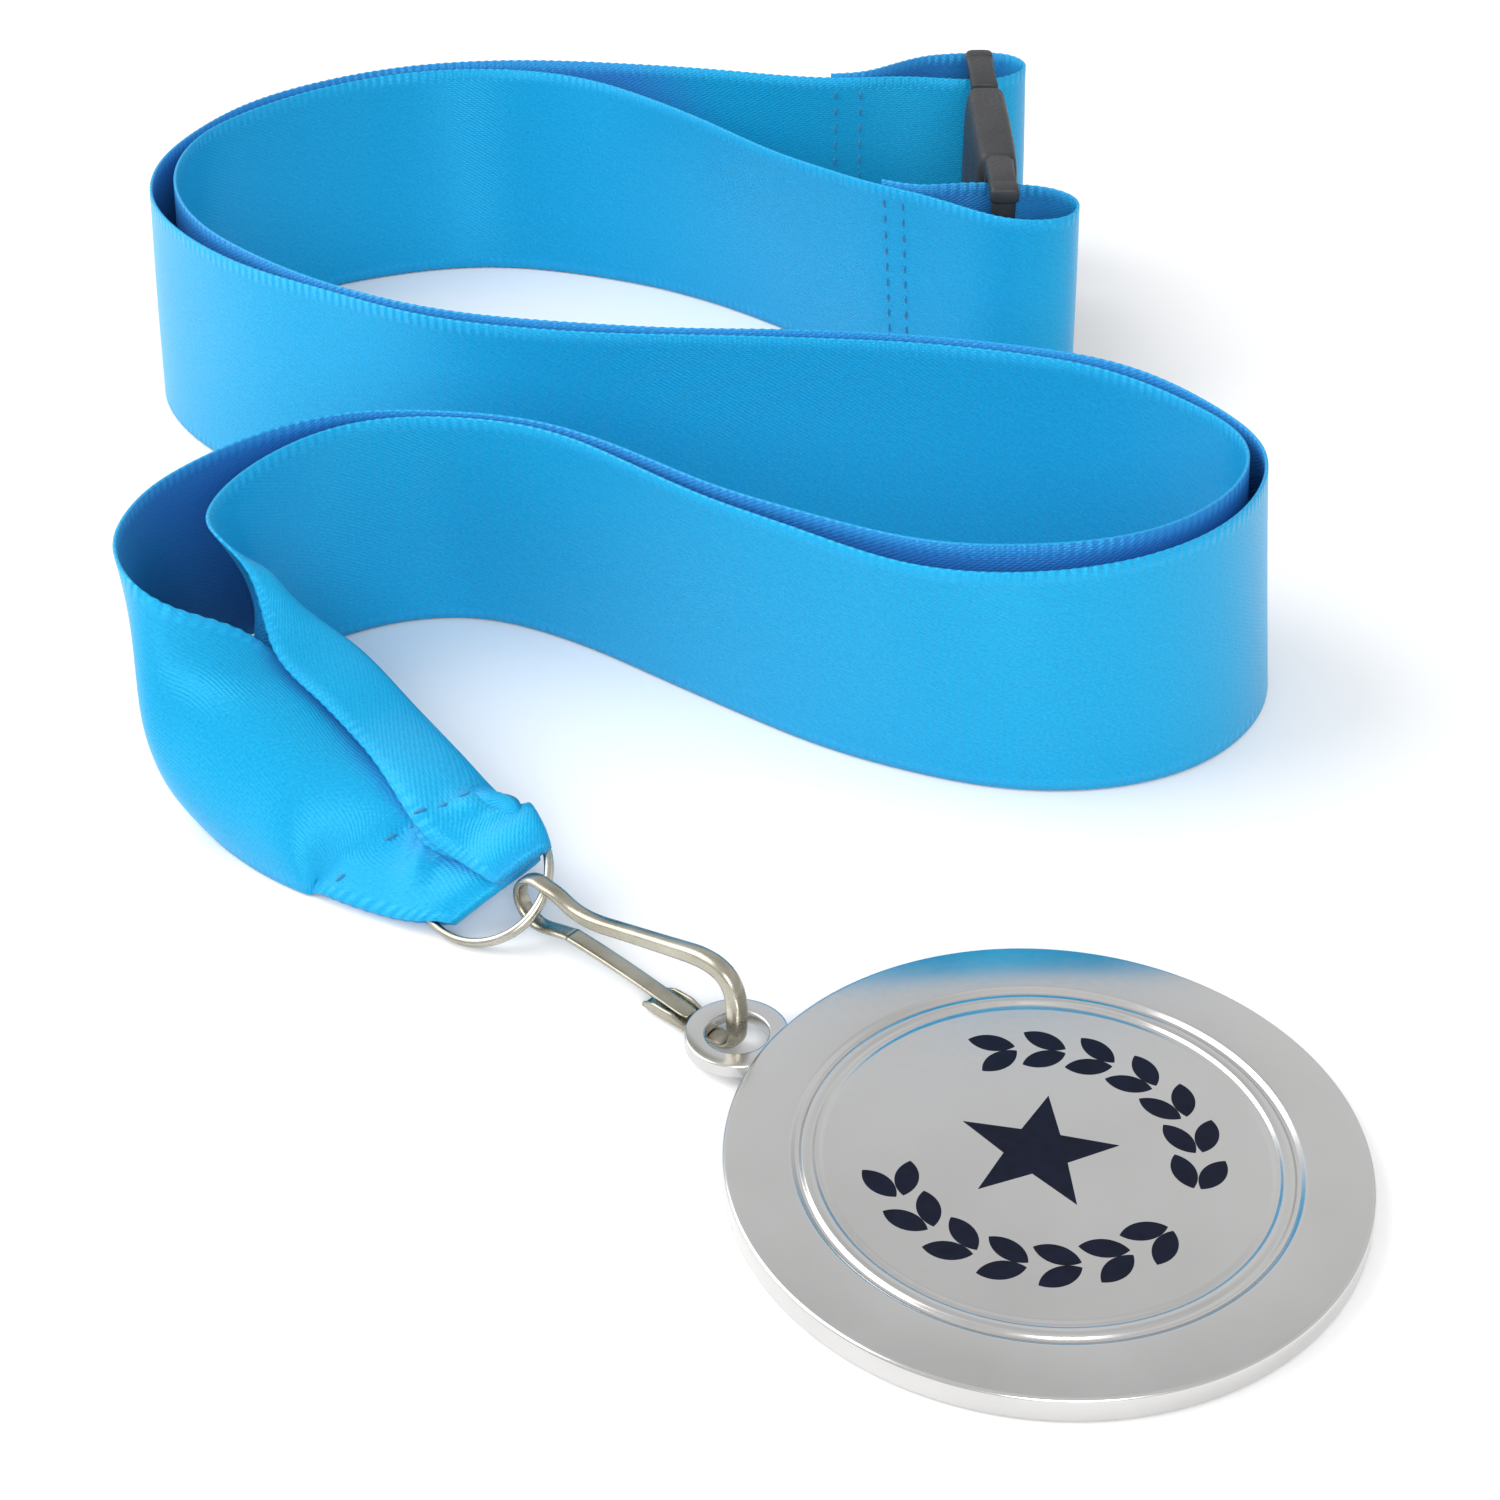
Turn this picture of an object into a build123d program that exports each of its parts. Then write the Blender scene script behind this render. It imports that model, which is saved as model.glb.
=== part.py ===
"""A presentation medal on a folded satin neck ribbon, lying on a table. Millimetres, +Z up.

The origin is the centre of the medal's flat back. The ribbon stands on its edge in an S behind
the medal, with its two tails side by side, and a breakaway buckle joins their far ends.
"""
import os
from math import cos, pi, radians, sin, tan

from build123d import *

# ---- driving dimensions -------------------------------------------------------------------
MEDAL_R = 25.0
MEDAL_T = 2.2
EDGE_BEVEL = 0.2
BEAD_OUTER_R = 19.15        # the fine raised ring between the rim and the field
BEAD_INNER_R = 17.75
BEAD_DROP = 0.06
GROOVE_W = 0.22
GROOVE_DROP = 0.34          # the grooves on both sides of the bead, below the rim
FIELD_DROP = 0.25           # the field lies this far below the rim
PRINT_T = 0.03
STAR_TIP_R = 6.4
STAR_NOTCH_R = 2.6
STAR_UP = 0.8               # the star's centre, from the medal's towards the lug
LEAF_HALF = 1.9
LEAF_ARC_R = 2.4
LEAF_LEAN = 26.0
LEAF_PAIRS = 7
LEAF_FROM, LEAF_STEP = 20.0, 19.0   # degrees from the wreath's foot
WREATH_R = (13.1, 10.9)
WREATH_UP = 0.4

LUG_ANGLE = 149.0           # degrees, from +X to the lug
LUG_DIST = 27.85            # medal centre to the lug's hole
LUG_R = 4.3
LUG_HOLE_R = 2.6
LUG_BOTTOM = 0.75           # the nose of the hook passes under the lug
LUG_TOP = 1.98

HOOK_ANGLE = 139.0          # degrees, from +X to the hook's length, seen from the lug
HOOK_WIDE = 1.5             # section of the hook's strip, across the hook
HOOK_THICK = 0.8            # and in the hook's own plane
CROWN_R = 0.82              # round wire at the bend through the lug
EYE_S, EYE_Z = 22.3, 3.75   # the eye's centre: along the hook, and above the table
EYE_R = 2.35                # to the middle of the strip
EYE_FROM, EYE_TURN = -104.0, 209.0   # the eye's arc in degrees, from the gate's root round to the leg
ROOT_L = 3.2                # straight stretch between the eye and the gate
STRIP_ROUND = 0.25
LEG_DIP = (16.9, 4.9)       # the leg above: its low point beside the eye
LEG_CROWN = (3.4, 7.8)      # and its high point at the bend
CROWN_DROP_Z = 6.0
LEG_BENDS = [3.0, 3.0, 2.2]
GATE_TIP_S = 4.95
GATE_TIP_Z = 0.95
GATE_W = 1.7
GATE_T = 0.45
GATE_GAP = 0.12
NOSE_T = 0.55
NOSE_Z = 0.05
NOSE_W = 1.9
MERGE = 0.3                 # how far one part of the hook's body runs into the next
CLEAR = 0.1                 # how far a cutting box runs past what it cuts
CUP_S = (4.7, 9.2)          # the channel that the gate's tip rests in
CUP_W = 2.9
CUP_WALL = 0.35
CUP_TOP = 1.25

RING_R = 6.0                # small ring, to the middle of its wire
RING_WIRE_R = 0.55
RING_NORMAL = (-0.28, -0.58, 0.76)
RING_REACH = (0.87, -0.43, -0.22)   # from the ring's centre towards the eye of the hook

RIBBON_W = 25.0
RIBBON_T = 0.45
FOLD_ANGLE = 154.5          # degrees round the ring, from the hook's eye to the ribbon
FOLD_W = 12.4               # the ribbon is gathered to this width in the ring
FOLD_T = 2.6
SEAM_T = 1.9
FOLD_PAST = 0.4             # the fold's end, from the ring's centre
SEAM_REACH = 7.6            # the stitched line, from the ring's centre
CHANNEL_GAP = 0.15
END_GAP = 0.4               # between the gathered end and the two tails that run into it

BUCKLE_X = 5.0
BUCKLE_T = 5.0              # thickness of the housing
FRAME_T = 3.2               # thickness of the slotted ends
BUCKLE_H = 27.6
RAIL = 1.9                  # the frame beyond each end of a slot
BAR = 2.6                   # the bar in each ribbon loop
NEAR_BAR_Y = 125.6
NEAR_SLOT_END_Y = 132.8
HOUSING_Y = (134.2, 156.6)
FAR_BAR_Y = 165.2
TONGUE_L = 11.0
TONGUE_H = 15.0
TONGUE_T = 2.2
TONGUE_ROOT = 2.5           # solid part of the tongue before its slit
SLIT_W = 2.0
HOUSING_ROUND = 0.8
FIT = 0.15
LOOP_Z = (2.2, 25.4)

STITCH_L = 1.3
STITCH_GAP = 0.7
STITCH_R = 0.13
STITCH_LIFT = 0.05
SEAM_ROWS = (0.9, 3.1)      # the two rows that close a loop, from its start
SEAM_MARGIN = 1.0

# Plan of the two tails, from the ring's end to the buckle. The corners are rounded by arcs.
OUTER_TAIL = [
    (-64.2, 40.6), (-74.0, 45.2), (-79.8, 54.6), (-78.6, 66.0), (-70.6, 75.4), (-59.5, 80.2),
    (-48.5, 79.8), (-38.0, 74.4), (-27.0, 65.6), (-15.5, 57.6), (-3.0, 53.2), (9.5, 53.0),
    (20.0, 58.8), (25.3, 68.6), (22.2, 79.4), (12.6, 87.4), (-0.5, 91.6), (-16.0, 94.2),
    (-32.0, 95.0), (-48.0, 97.0), (-62.5, 102.0), (-75.5, 109.6), (-85.8, 120.0),
    (-91.2, 132.6), (-89.2, 146.4), (-81.0, 158.0), (-68.5, 166.2), (-53.5, 169.4),
    (-38.0, 168.4), (-24.0, 165.6), (-13.2, 163.4),
]
INNER_TAIL = [
    (-62.2, 42.6), (-69.0, 49.4), (-71.8, 58.2), (-70.2, 67.6), (-64.2, 75.2), (-56.0, 78.9),
    (-47.6, 77.9), (-37.8, 72.6), (-27.2, 63.8), (-15.8, 55.6), (-3.2, 50.7), (10.4, 50.2),
    (21.6, 56.2), (27.6, 67.4), (24.2, 80.2), (13.6, 89.2), (0.0, 93.5), (-15.7, 96.0),
    (-31.6, 96.8), (-47.0, 98.8), (-61.0, 103.6), (-73.6, 111.0), (-83.6, 121.1),
    (-88.8, 132.9), (-86.8, 145.5), (-79.0, 156.1), (-67.2, 163.4), (-53.5, 166.3),
    (-40.5, 162.6), (-29.5, 154.4), (-19.0, 144.4), (-8.4, 135.0),
]
FAR_LOOP = [(-12.6, 163.5), (-5.6, 161.9), (0.4, 160.2), (7.4, 159.7), (11.2, 164.6),
            (7.6, 169.6), (0.0, 170.0), (-6.0, 167.4), (-12.2, 164.6)]
NEAR_LOOP = [(-7.4, 134.0), (-3.6, 129.4), (0.6, 124.8), (6.0, 121.6), (12.6, 121.6), (14.0, 127.2),
             (8.2, 130.4), (1.8, 131.0), (-2.6, 131.4), (-6.8, 134.8)]


# ---- helpers ------------------------------------------------------------------------------
def unit(v):
    return Vector(*v).normalized()


def arc_radii(points, share=0.45):
    """The largest arc that each corner's two runs allow."""
    radii = []
    for a, b, c in zip(points, points[1:], points[2:]):
        run_in, run_out = Vector(*b) - Vector(*a), Vector(*c) - Vector(*b)
        half_turn = radians(run_in.get_angle(run_out)) / 2
        radii.append(share * min(run_in.length, run_out.length) / tan(half_turn))
    return radii


def upright_strip(points, z_low, z_high):
    """A strip of ribbon standing on its edge along a plan route."""
    path = FilletPolyline(*points, radius=arc_radii(points))
    start = Plane(origin=path @ 0, z_dir=path % 0, x_dir=(0, 0, 1))
    section = start * Rectangle(z_high - z_low, RIBBON_T)
    return Pos(0, 0, (z_low + z_high) / 2) * sweep(section, path=path)


def hook_point(s, z, side=0.0):
    """A point of the hook's plane: s along the hook from the lug, z above the table."""
    a = radians(HOOK_ANGLE)
    hole = lug_centre()
    return Vector(hole.X + s * cos(a) - side * sin(a), hole.Y + s * sin(a) + side * cos(a), z)


def lug_centre():
    a = radians(LUG_ANGLE)
    return Vector(LUG_DIST * cos(a), LUG_DIST * sin(a), 0)


HOOK_SIDE = Vector(-sin(radians(HOOK_ANGLE)), cos(radians(HOOK_ANGLE)), 0)
HOOK_PLANE = Plane(origin=hook_point(0, 0), x_dir=hook_point(1, 0) - hook_point(0, 0),
                   z_dir=HOOK_SIDE * -1)


def ring_frame():
    """Centre of the small ring, its normal, and the direction from its centre to the eye."""
    normal = unit(RING_NORMAL)
    reach = Vector(*RING_REACH)
    reach = (reach - normal * reach.dot(normal)).normalized()
    centre = hook_point(EYE_S, EYE_Z) - reach * RING_R
    return centre, normal, reach


# ---- medal --------------------------------------------------------------------------------
def medal_body():
    field_z = MEDAL_T - FIELD_DROP
    bead_z = MEDAL_T - BEAD_DROP
    groove_z = MEDAL_T - GROOVE_DROP
    outline = Polyline(
        (0, 0), (MEDAL_R - EDGE_BEVEL, 0), (MEDAL_R, EDGE_BEVEL),
        (MEDAL_R, MEDAL_T - EDGE_BEVEL), (MEDAL_R - EDGE_BEVEL, MEDAL_T),
        (BEAD_OUTER_R + 2 * GROOVE_W, MEDAL_T), (BEAD_OUTER_R + GROOVE_W, groove_z),
        (BEAD_OUTER_R, groove_z), (BEAD_OUTER_R - GROOVE_W, bead_z),
        (BEAD_INNER_R + GROOVE_W, bead_z), (BEAD_INNER_R, groove_z),
        (BEAD_INNER_R - GROOVE_W, groove_z), (BEAD_INNER_R - 2 * GROOVE_W, field_z),
        (0, field_z), (0, 0),
    )
    disc = revolve(Plane.XZ * make_face(outline), axis=Axis.Z)
    lug_h = LUG_TOP - LUG_BOTTOM
    at_lug = Pos(*lug_centre()) * Pos(0, 0, LUG_BOTTOM)
    lug = at_lug * Cylinder(LUG_R, lug_h, align=(Align.CENTER, Align.CENTER, Align.MIN))
    hole = at_lug * Cylinder(LUG_HOLE_R, lug_h, align=(Align.CENTER, Align.CENTER, Align.MIN))
    return (disc + lug) - hole


def emblem_plane():
    """On the field, with its up direction towards the lug."""
    up = lug_centre().normalized()
    return Plane(origin=(0, 0, MEDAL_T - FIELD_DROP), x_dir=up.cross(Vector(0, 0, 1)), z_dir=(0, 0, 1))


def emblem_star():
    points = []
    for k in range(10):
        r = STAR_TIP_R if k % 2 == 0 else STAR_NOTCH_R
        a = pi / 2 + k * pi / 5
        points.append((r * cos(a), STAR_UP + r * sin(a)))
    return extrude(emblem_plane() * make_face(Polyline(*points, close=True)), PRINT_T)


def emblem_wreath():
    """Two sprays of leaves that rise on either side of the star."""
    foot, point = (0, -LEAF_HALF), (0, LEAF_HALF)
    leaf = make_face(RadiusArc(foot, point, LEAF_ARC_R) + RadiusArc(point, foot, LEAF_ARC_R))
    leaves = []
    for side in (-1, 1):
        for k in range(LEAF_PAIRS):
            bearing = -90 + side * (LEAF_FROM + k * LEAF_STEP)
            a = radians(bearing)
            for r, lean in zip(WREATH_R, (LEAF_LEAN, -LEAF_LEAN)):
                turn = Rot(0, 0, bearing + side * (90 - lean) - 90)
                leaves.append(Pos(r * cos(a), WREATH_UP + r * sin(a)) * turn * leaf)
    return extrude(emblem_plane() * Sketch(children=leaves), PRINT_T)


# ---- snap hook ----------------------------------------------------------------------------
def eye_point(angle):
    a = radians(angle)
    return Vector(EYE_S + EYE_R * cos(a), EYE_Z + EYE_R * sin(a))


def gate_root():
    """Where the gate begins: the end of the straight stretch that leaves the eye."""
    a = radians(EYE_FROM)
    along = Vector(-sin(a), cos(a))
    return eye_point(EYE_FROM) - along * ROOT_L


def hook_body():
    """Eye, leg and nose: a strip rolled into the eye, a round leg, and a channel under the lug."""
    arc = CenterArc((EYE_S, EYE_Z), EYE_R, EYE_FROM, EYE_TURN)
    strip_path = Wire([Line(gate_root(), arc @ 0), arc])
    nose_top = NOSE_Z + NOSE_T
    leg_path = FilletPolyline(
        arc @ 1, LEG_DIP, LEG_CROWN, (0, CROWN_DROP_Z), (0, nose_top - MERGE), radius=LEG_BENDS
    )
    strip_path, leg_path = HOOK_PLANE * strip_path, HOOK_PLANE * leg_path
    strip_at = Plane(origin=strip_path @ 0, z_dir=strip_path % 0, x_dir=HOOK_SIDE)
    strip = sweep(strip_at * RectangleRounded(HOOK_WIDE, HOOK_THICK, STRIP_ROUND), path=strip_path)
    leg_at = Plane(origin=leg_path @ 0, z_dir=leg_path % 0, x_dir=HOOK_SIDE)
    leg = sweep(leg_at * Circle(CROWN_R), path=leg_path)

    floor = hook_box(0, CUP_S[0] + MERGE, NOSE_W, NOSE_Z, nose_top)
    toe = Pos(*hook_point(0, NOSE_Z)) * Cylinder(
        NOSE_W / 2, NOSE_T, align=(Align.CENTER, Align.CENTER, Align.MIN)
    )
    cup = hook_box(CUP_S[0], CUP_S[1], CUP_W, NOSE_Z, CUP_TOP)
    cup -= hook_box(CUP_S[0] - CLEAR, CUP_S[1] + CLEAR, CUP_W - 2 * CUP_WALL, nose_top, CUP_TOP + CLEAR)
    return strip + leg + floor + toe + cup


def hook_box(s_low, s_high, width, z_low, z_high):
    """A box in line with the hook."""
    at = Plane(origin=hook_point((s_low + s_high) / 2, z_low), x_dir=HOOK_PLANE.x_dir, z_dir=(0, 0, 1))
    box = Box(s_high - s_low, width, z_high - z_low, align=(Align.CENTER, Align.CENTER, Align.MIN))
    return at * box


def hook_gate():
    """The flat leaf that springs shut against the nose."""
    root, tip = gate_root(), Vector(GATE_TIP_S, GATE_TIP_Z)
    along = (tip - root).normalized()
    up = Vector(-along.Y, along.X) * (GATE_T / 2)
    start = root + along * GATE_GAP
    outline = Polyline(start + up, tip + up, tip - up, start - up, close=True)
    return extrude(HOOK_PLANE * make_face(outline), GATE_W / 2, both=True)


# ---- small ring ---------------------------------------------------------------------------
def ring_plane():
    centre, normal, reach = ring_frame()
    return Plane(origin=centre, x_dir=reach, z_dir=normal)


def small_ring():
    return ring_plane() * Torus(RING_R, RING_WIRE_R)


# ---- ribbon -------------------------------------------------------------------------------
def outer_tail():
    return upright_strip(OUTER_TAIL, 0, RIBBON_W)


def inner_tail():
    return upright_strip(INNER_TAIL, 0, RIBBON_W)


def fold_section(reach, width, thick):
    """A section of the gathered ribbon across the ring, this far from the ring's centre."""
    centre, normal, to_eye = ring_frame()
    a = radians(FOLD_ANGLE)
    out = to_eye * cos(a) + normal.cross(to_eye) * sin(a)
    at = Plane(origin=centre + out * reach, x_dir=normal.cross(out), z_dir=out * -1)
    return at * Rectangle(width, thick)


def ring_end():
    """Both tails together, gathered from the ribbon's full width to the fold in the ring."""
    outer, inner = Vector(*OUTER_TAIL[0]), Vector(*INNER_TAIL[0])
    middle = (outer + inner) / 2
    across = (inner - outer).normalized()
    run = Vector(across.Y, -across.X)
    middle += run * END_GAP
    at = Plane(origin=(middle.X, middle.Y, RIBBON_W / 2), x_dir=(0, 0, -1), z_dir=run)
    begin = at * Rectangle(RIBBON_W, (inner - outer).length + RIBBON_T)
    body = loft([begin, fold_section(SEAM_REACH, FOLD_W, SEAM_T)], ruled=True)
    body += loft([fold_section(SEAM_REACH, FOLD_W, SEAM_T), fold_section(FOLD_PAST, FOLD_W, FOLD_T)],
                 ruled=True)
    return body - ring_plane() * Torus(RING_R, RING_WIRE_R + CHANNEL_GAP)


def far_loop():
    return upright_strip(FAR_LOOP, *LOOP_Z)


def near_loop():
    return upright_strip(NEAR_LOOP, *LOOP_Z)


def stitch_row(place, length, across):
    """A row of short stitches, centred on a place and running along `across`."""
    pitch = STITCH_L + STITCH_GAP
    count = int((length - STITCH_L) // pitch) + 1
    at = Plane(origin=place, z_dir=across)
    one = Cylinder(STITCH_R, STITCH_L)
    first = -(count - 1) * pitch / 2
    return Compound(children=[at * Pos(0, 0, first + k * pitch) * one for k in range(count)])


# ---- breakaway buckle ---------------------------------------------------------------------
def slab(y_from, y_to, z_low, z_high, thick):
    """An upright block in the buckle's middle plane."""
    box = Box(thick, abs(y_to - y_from), z_high - z_low, align=(Align.CENTER, Align.MIN, Align.MIN))
    return Pos(BUCKLE_X, min(y_from, y_to), z_low) * box


def slotted_end(bar_y, body_y):
    """The open frame that the ribbon's loop passes through: two rails and an upright bar."""
    inward = BAR / 2 if body_y > bar_y else -BAR / 2
    frame = slab(bar_y - inward, body_y, 0, BUCKLE_H, FRAME_T)
    return frame - slab(bar_y + inward, body_y, RAIL, BUCKLE_H - RAIL, FRAME_T + 1)


def buckle_female():
    """The half with the housing, on the far tail."""
    y_low, y_high = HOUSING_Y
    housing = slab(y_low, y_high, 0, BUCKLE_H, BUCKLE_T)
    housing = fillet(housing.edges().filter_by(Axis.Y), HOUSING_ROUND)
    mid = BUCKLE_H / 2
    cavity = slab(y_low - 1, y_low + TONGUE_L + 0.5, mid - TONGUE_H / 2 - FIT,
                  mid + TONGUE_H / 2 + FIT, TONGUE_T + 2 * FIT)
    return housing + slotted_end(FAR_BAR_Y, y_high) - cavity


def buckle_male():
    """The half with the tongue, on the near tail. It pulls out when the ribbon is snagged."""
    y_face = HOUSING_Y[0] - FIT
    y_tip = HOUSING_Y[0] + TONGUE_L
    mid = BUCKLE_H / 2
    shoulder = slab(NEAR_SLOT_END_Y, y_face, 0, BUCKLE_H, FRAME_T)
    tongue = slab(y_face, y_tip, mid - TONGUE_H / 2, mid + TONGUE_H / 2, TONGUE_T)
    slit = slab(y_face + TONGUE_ROOT, y_tip + 1, mid - SLIT_W / 2, mid + SLIT_W / 2, TONGUE_T + 1)
    return slotted_end(NEAR_BAR_Y, NEAR_SLOT_END_Y) + shoulder + (tongue - slit)


# ---- the rows of thread -------------------------------------------------------------------
def ring_end_stitching():
    """Through the gathered ribbon, just clear of the ring, on the side that faces up."""
    centre, normal, to_eye = ring_frame()
    a = radians(FOLD_ANGLE)
    out = to_eye * cos(a) + normal.cross(to_eye) * sin(a)
    place = centre + out * SEAM_REACH + normal * (SEAM_T / 2 + STITCH_R + STITCH_LIFT)
    return stitch_row(place, FOLD_W - SEAM_MARGIN, normal.cross(out))


def loop_stitching(points):
    """Two upright rows across the seam that closes a loop, on the side towards -Y."""
    begin, along = Vector(*points[0]), (Vector(*points[1]) - Vector(*points[0])).normalized()
    outward = Vector(along.Y, -along.X) * (RIBBON_T / 2 + STITCH_R + STITCH_LIFT)
    middle_z, height = sum(LOOP_Z) / 2, LOOP_Z[1] - LOOP_Z[0]
    rows = []
    for step in SEAM_ROWS:
        place = begin + along * step + outward
        row = stitch_row(Vector(place.X, place.Y, middle_z), height - 2 * SEAM_MARGIN, Vector(0, 0, 1))
        rows += row.children
    return Compound(children=rows)


def main():
    os.makedirs("parts", exist_ok=True)
    nodes = {
        "medal_body": medal_body(),
        "printed_star": emblem_star(),
        "printed_wreath": emblem_wreath(),
        "hook_body": hook_body(),
        "hook_gate": hook_gate(),
        "small_ring": small_ring(),
        "ribbon_outer_tail": outer_tail(),
        "ribbon_inner_tail": inner_tail(),
        "ribbon_ring_end": ring_end(),
        "ribbon_far_loop": far_loop(),
        "ribbon_near_loop": near_loop(),
        "ring_end_stitching": ring_end_stitching(),
        "far_loop_stitching": loop_stitching(FAR_LOOP),
        "near_loop_stitching": loop_stitching(NEAR_LOOP),
        "buckle_female": buckle_female(),
        "buckle_male": buckle_male(),
    }
    for name, shape in nodes.items():
        export_step(shape, f"parts/{name}.step")


main()
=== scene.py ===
"""The presentation medal on its folded satin ribbon: looks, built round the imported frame."""
import math

import bpy
import numpy as np
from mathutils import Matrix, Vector
from mathutils.bvhtree import BVHTree


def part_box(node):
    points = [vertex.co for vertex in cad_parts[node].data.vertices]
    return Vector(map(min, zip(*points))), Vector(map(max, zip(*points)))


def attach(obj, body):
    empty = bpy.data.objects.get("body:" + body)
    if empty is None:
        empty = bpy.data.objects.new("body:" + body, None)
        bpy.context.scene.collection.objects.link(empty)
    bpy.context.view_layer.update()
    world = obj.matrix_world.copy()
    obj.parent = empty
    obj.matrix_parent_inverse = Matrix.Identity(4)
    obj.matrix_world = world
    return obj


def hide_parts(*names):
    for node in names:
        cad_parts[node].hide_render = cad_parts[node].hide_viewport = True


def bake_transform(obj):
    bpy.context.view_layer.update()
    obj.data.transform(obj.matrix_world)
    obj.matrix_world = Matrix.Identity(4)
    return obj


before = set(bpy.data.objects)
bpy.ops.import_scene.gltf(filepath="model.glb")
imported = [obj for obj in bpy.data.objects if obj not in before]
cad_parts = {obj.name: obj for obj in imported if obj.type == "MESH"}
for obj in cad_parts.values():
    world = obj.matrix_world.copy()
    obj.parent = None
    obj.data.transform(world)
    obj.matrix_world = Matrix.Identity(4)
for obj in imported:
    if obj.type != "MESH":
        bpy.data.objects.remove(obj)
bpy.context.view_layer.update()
MM = 0.001

# the camera of the photograph, and the place that the lights aim at, in metres
CAMERA_PLACE = (-0.02281, -0.15494, 0.14796)
CAMERA_DOWN = math.radians(34.9)
LENS, SENSOR = 65.69, 36.0
LIGHTS_AIM = (-0.03, 0.06, 0.01)


# ---- curves and meshes, worked out in millimetres ------------------------------------------
def cubic(knots, values, at):
    """A natural cubic spline through the values, read at the given places."""
    knots, values, at = (np.asarray(a, float) for a in (knots, values, at))
    n, flat = len(knots), values.reshape(len(knots), -1)
    h = np.diff(knots)
    a, b = np.eye(n), np.zeros_like(flat)
    for i in range(1, n - 1):
        a[i, i - 1:i + 2] = h[i - 1], 2 * (h[i - 1] + h[i]), h[i]
        b[i] = 6 * ((flat[i + 1] - flat[i]) / h[i] - (flat[i] - flat[i - 1]) / h[i - 1])
    m = np.linalg.solve(a, b)
    k = np.clip(np.searchsorted(knots, at, side="right") - 1, 0, n - 2)
    s, e, w = at - knots[k], knots[k + 1] - at, h[k]
    s, e, w = s[:, None], e[:, None], w[:, None]
    out = (m[k] * e ** 3 + m[k + 1] * s ** 3) / (6 * w)
    out += (flat[k] / w - m[k] * w / 6) * e + (flat[k + 1] / w - m[k + 1] * w / 6) * s
    return out.reshape((len(at),) + values.shape[1:])


def unit(v):
    v = np.asarray(v, float)
    return v / np.linalg.norm(v, axis=-1, keepdims=True)


def arc_lengths(points):
    return np.concatenate([[0], np.cumsum(np.linalg.norm(np.diff(points, axis=0), axis=1))])


def new_piece(name, points, faces, material, body=None, replaced=()):
    """A smooth mesh from points in millimetres, which may ride on a body and stand for CAD nodes."""
    mesh = bpy.data.meshes.new(name)
    mesh.from_pydata([tuple(p) for p in np.asarray(points) * MM], [], [tuple(f) for f in faces])
    mesh.materials.append(material)
    mesh.polygons.foreach_set("use_smooth", [True] * len(mesh.polygons))
    piece = bpy.data.objects.new(name, mesh)
    bpy.context.scene.collection.objects.link(piece)
    if body:
        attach(piece, body)
    if replaced:
        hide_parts(*replaced)
    return piece


def add_tube(points, faces, rings):
    """Joins equal rings of points into a closed tube and adds it to the lists of a mesh."""
    start, size = len(points), len(rings[0])
    for ring in rings:
        points.extend(ring)
    for i in range(len(rings) - 1):
        for j in range(size):
            a, b = start + i * size + j, start + i * size + (j + 1) % size
            faces.append((a, b, b + size, a + size))
    faces.append(tuple(start + j for j in reversed(range(size))))
    last = start + (len(rings) - 1) * size
    faces.append(tuple(last + j for j in range(size)))


def rounded_outline(wide, thick, power, count):
    """Points of a rounded rectangle: power 2 is an ellipse, and more is squarer."""
    a = np.arange(count) * 2 * math.pi / count
    c, s = np.cos(a), np.sin(a)
    x = np.sign(c) * np.abs(c) ** (2 / power) * wide / 2
    y = np.sign(s) * np.abs(s) ** (2 / power) * thick / 2
    return np.stack([x, y], 1)


def swept_rings(path, side, sizes, power, count):
    """Rings along a path that stays in one plane; side is the plane's normal."""
    tangent = unit(np.gradient(path, axis=0))
    rings = []
    for p, t, (wide, thick) in zip(path, tangent, sizes):
        up = np.cross(side, t)
        outline = rounded_outline(wide, thick, power, count)
        rings.append([p + side * x + up * y for x, y in outline])
    return rings


# ---- camera, light and floor ---------------------------------------------------------------
def add_camera():
    data = bpy.data.cameras.new("camera")
    data.sensor_width, data.lens = SENSOR, LENS
    data.clip_start = 0.01
    camera = bpy.data.objects.new("camera", data)
    camera.location = CAMERA_PLACE
    camera.rotation_euler = (math.pi / 2 - CAMERA_DOWN, 0, 0)
    bpy.context.scene.collection.objects.link(camera)
    bpy.context.scene.camera = camera


def add_soft_light(name, place, size, watts):
    data = bpy.data.lights.new(name, "AREA")
    data.shape, data.size, data.energy = "DISK", size, watts
    light = bpy.data.objects.new(name, data)
    light.location = place
    aim = Vector(LIGHTS_AIM) - Vector(place)
    light.rotation_euler = aim.to_track_quat("-Z", "Y").to_euler()
    bpy.context.scene.collection.objects.link(light)


def add_surroundings():
    """A pale room: its grey changes with height, so that polished metal has something to show."""
    world = bpy.data.worlds.new("studio")
    bpy.context.scene.world = world
    world.use_nodes = True
    nodes, links = world.node_tree.nodes, world.node_tree.links
    place = nodes.new("ShaderNodeTexCoord")
    split = nodes.new("ShaderNodeSeparateXYZ")
    links.new(place.outputs["Generated"], split.inputs[0])
    bands = [(height, (grey, grey, grey * 1.01)) for height, grey in
             ((0.12, 0.45), (0.35, 0.62), (0.62, 0.68), (0.8, 0.5))]
    stops = [(0.0, (0.72, 0.72, 0.72)), *bands, (1.0, (0.66, 0.66, 0.67))]
    room = add_ramp(nodes, links, split.outputs["Z"], stops)
    links.new(room, nodes["Background"].inputs["Color"])
    nodes["Background"].inputs["Strength"].default_value = 1.28


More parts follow.
